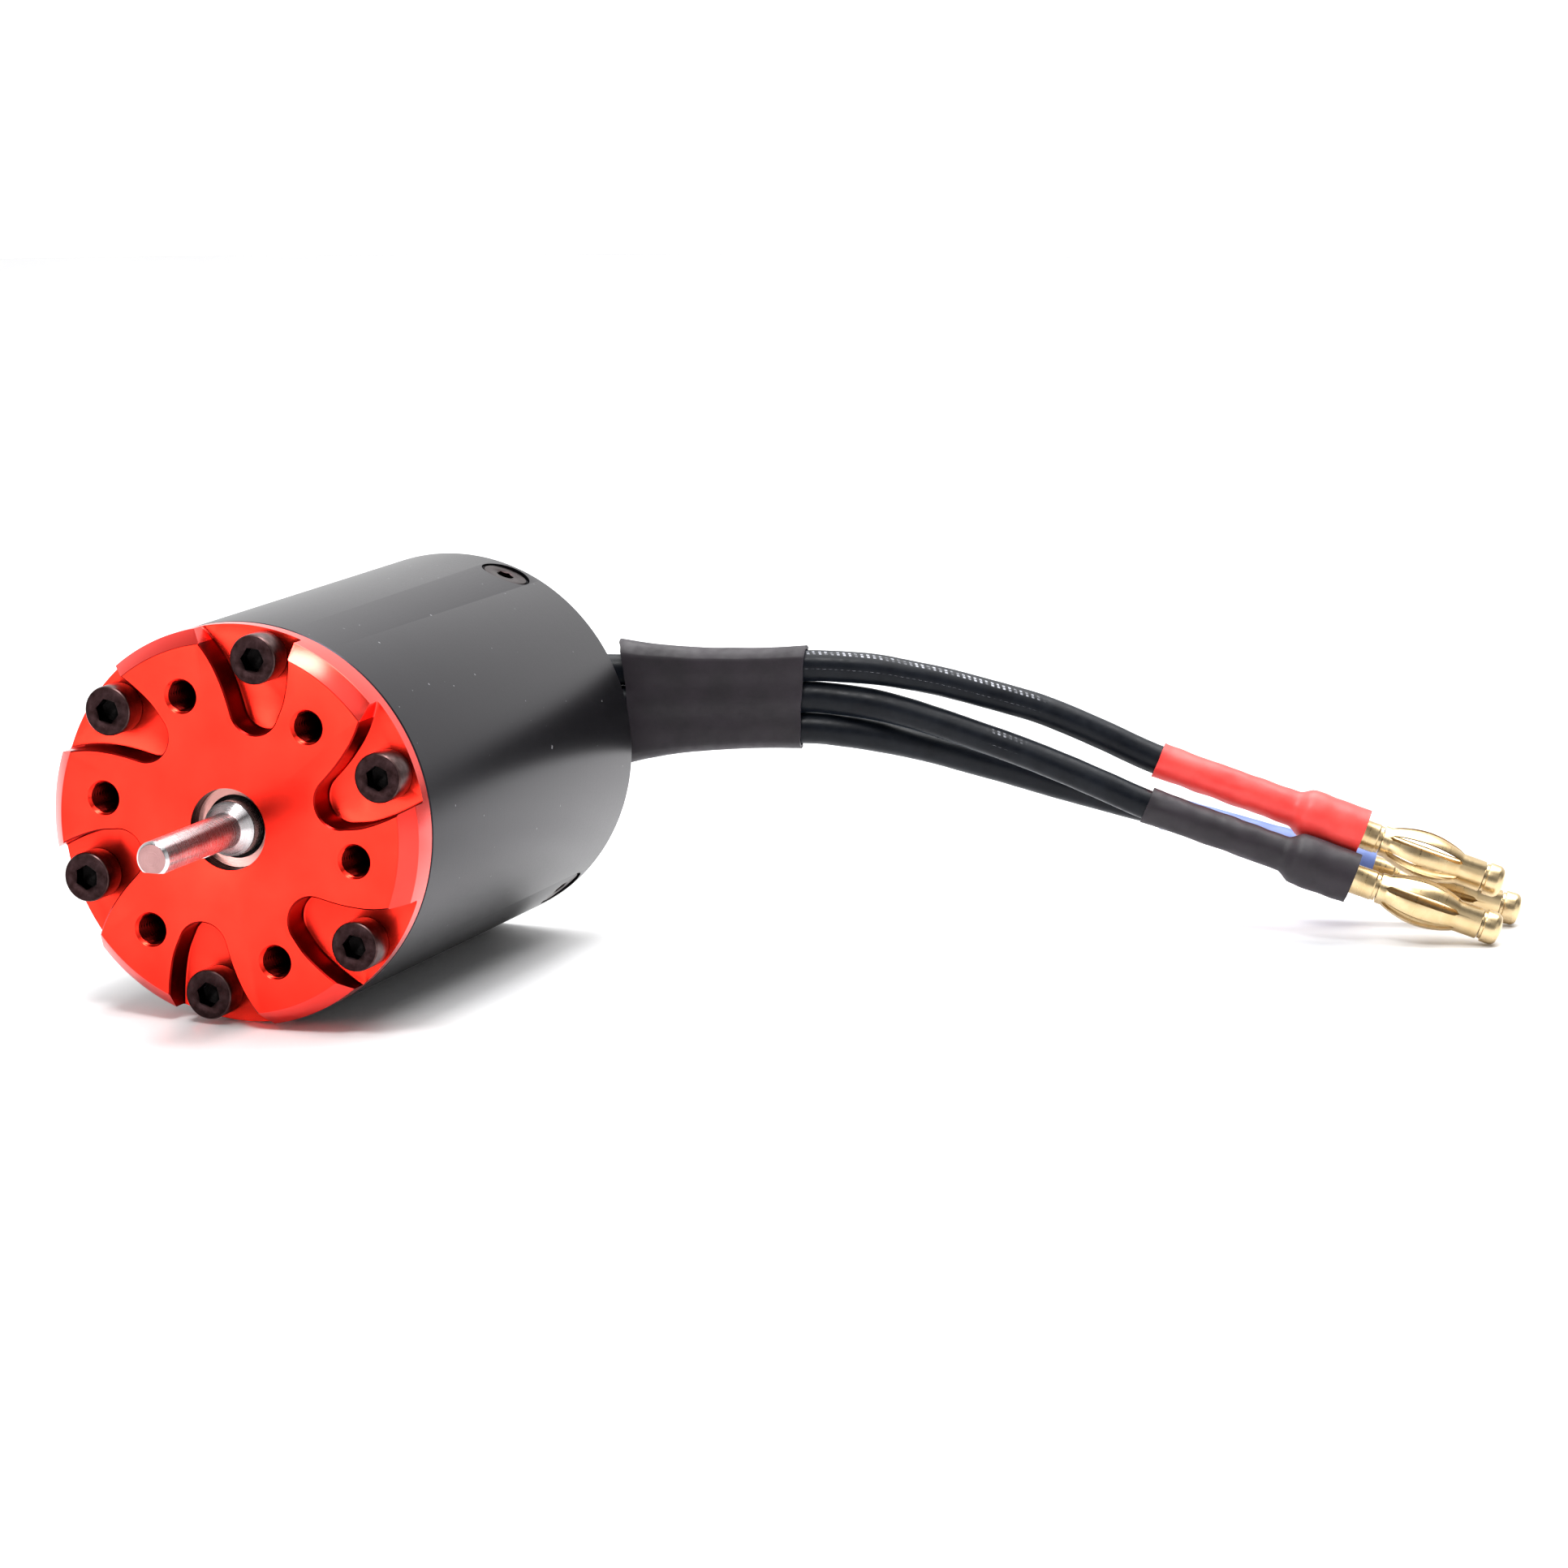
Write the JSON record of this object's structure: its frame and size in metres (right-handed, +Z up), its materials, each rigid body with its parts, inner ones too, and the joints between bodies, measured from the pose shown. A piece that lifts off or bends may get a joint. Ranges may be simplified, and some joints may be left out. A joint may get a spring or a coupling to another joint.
{
  "type": "brushless motor",
  "caption": "Cylindrical brushless motor with a recessed front plate, stepped output shaft and sleeved phase leads ending in bullet plugs.",
  "frame": {"origin": "on the table top, under the middle of the motor's length from shaft tip to rear edge, without the leads", "axes": "+Z up, shaft axis along Y at z = 18 mm with the output shaft pointing to -Y, leads to +X"},
  "size_m": [0.1154, 0.0998, 0.036],
  "materials": {
    "red_anodised": "satin red anodised",
    "black_anodised": "satin black anodised",
    "black_oxide_steel": "black oxide",
    "polished_steel": "ground and polished",
    "bearing_steel": "ground",
    "lamination_steel": "stamped laminations",
    "enamelled_copper": "enamelled wire",
    "nickel_magnet": "nickel plated",
    "white_insulator": "moulded",
    "brass": "turned",
    "gold_plate": "gold plated",
    "black_rubber": "matt",
    "black_lead": "smooth satin silicone",
    "black_shrink": "heat-shrink",
    "red_shrink": "heat-shrink",
    "blue_shrink": "heat-shrink"
  },
  "bodies": {
    "housing": {"front_endbell": "red_anodised", "can": "black_anodised", "rear_endbell": "black_anodised", "front_screw_1": "black_oxide_steel", "front_screw_2": "black_oxide_steel", "front_screw_3": "black_oxide_steel", "front_screw_4": "black_oxide_steel", "front_screw_5": "black_oxide_steel", "front_screw_6": "black_oxide_steel", "rear_screw_1": "black_oxide_steel", "rear_screw_2": "black_oxide_steel", "rear_screw_3": "black_oxide_steel", "front_bearing_outer_ring": "bearing_steel", "front_bearing_seal_front": "black_rubber", "front_bearing_seal_rear": "black_rubber", "rear_bearing_outer_ring": "bearing_steel", "rear_bearing_seal_front": "black_rubber", "rear_bearing_seal_rear": "black_rubber", "preload_wave_washer": "bearing_steel", "stator_core": "lamination_steel", "stator_insulator_front": "white_insulator", "stator_insulator_rear": "white_insulator", "coil_1": "enamelled_copper", "coil_2": "enamelled_copper", "coil_3": "enamelled_copper", "coil_4": "enamelled_copper", "coil_5": "enamelled_copper", "coil_6": "enamelled_copper", "lead_grommet": "black_rubber", "lead_splice_1": "white_insulator", "lead_splice_2": "white_insulator", "lead_splice_3": "white_insulator", "main_sleeve": "black_shrink", "lead_red": "black_lead", "lead_black": "black_lead", "lead_blue": "black_lead", "plug_sleeve_red": "red_shrink", "plug_sleeve_black": "black_shrink", "plug_sleeve_blue": "blue_shrink", "bullet_pin_red": "gold_plate", "bullet_pin_black": "gold_plate", "bullet_pin_blue": "gold_plate", "bullet_cage_red": "gold_plate", "bullet_cage_black": "gold_plate", "bullet_cage_blue": "gold_plate"},
    "rotor": {"shaft": "polished_steel", "rotor_core": "bearing_steel", "magnet_1": "nickel_magnet", "magnet_2": "nickel_magnet", "magnet_3": "nickel_magnet", "magnet_4": "nickel_magnet", "magnet_sleeve": "polished_steel", "balance_ring_front": "brass", "balance_ring_rear": "brass", "spacer_front": "polished_steel", "spacer_rear": "polished_steel", "front_bearing_inner_ring": "bearing_steel", "rear_bearing_inner_ring": "bearing_steel"},
    "front_ball_set": {"front_bearing_balls": "bearing_steel"},
    "rear_ball_set": {"rear_bearing_balls": "bearing_steel"}
  },
  "joints": [
    {"name": "rotor_spin", "type": "hinge", "parent": "housing", "child": "rotor", "pos_m": [0, -0.0176, 0.018], "axis": [0, -1, 0], "continuous": true},
    {"name": "front_balls_spin", "type": "hinge", "parent": "housing", "child": "front_ball_set", "pos_m": [0, -0.0136, 0.018], "axis": [0, -1, 0], "continuous": true},
    {"name": "rear_balls_spin", "type": "hinge", "parent": "housing", "child": "rear_ball_set", "pos_m": [0, 0.0284, 0.018], "axis": [0, -1, 0], "continuous": true}
  ],
  "couplings": [
    {"joint": "front_balls_spin", "follows": "rotor_spin", "ratio": 0.3722},
    {"joint": "rear_balls_spin", "follows": "rotor_spin", "ratio": 0.3722}
  ]
}
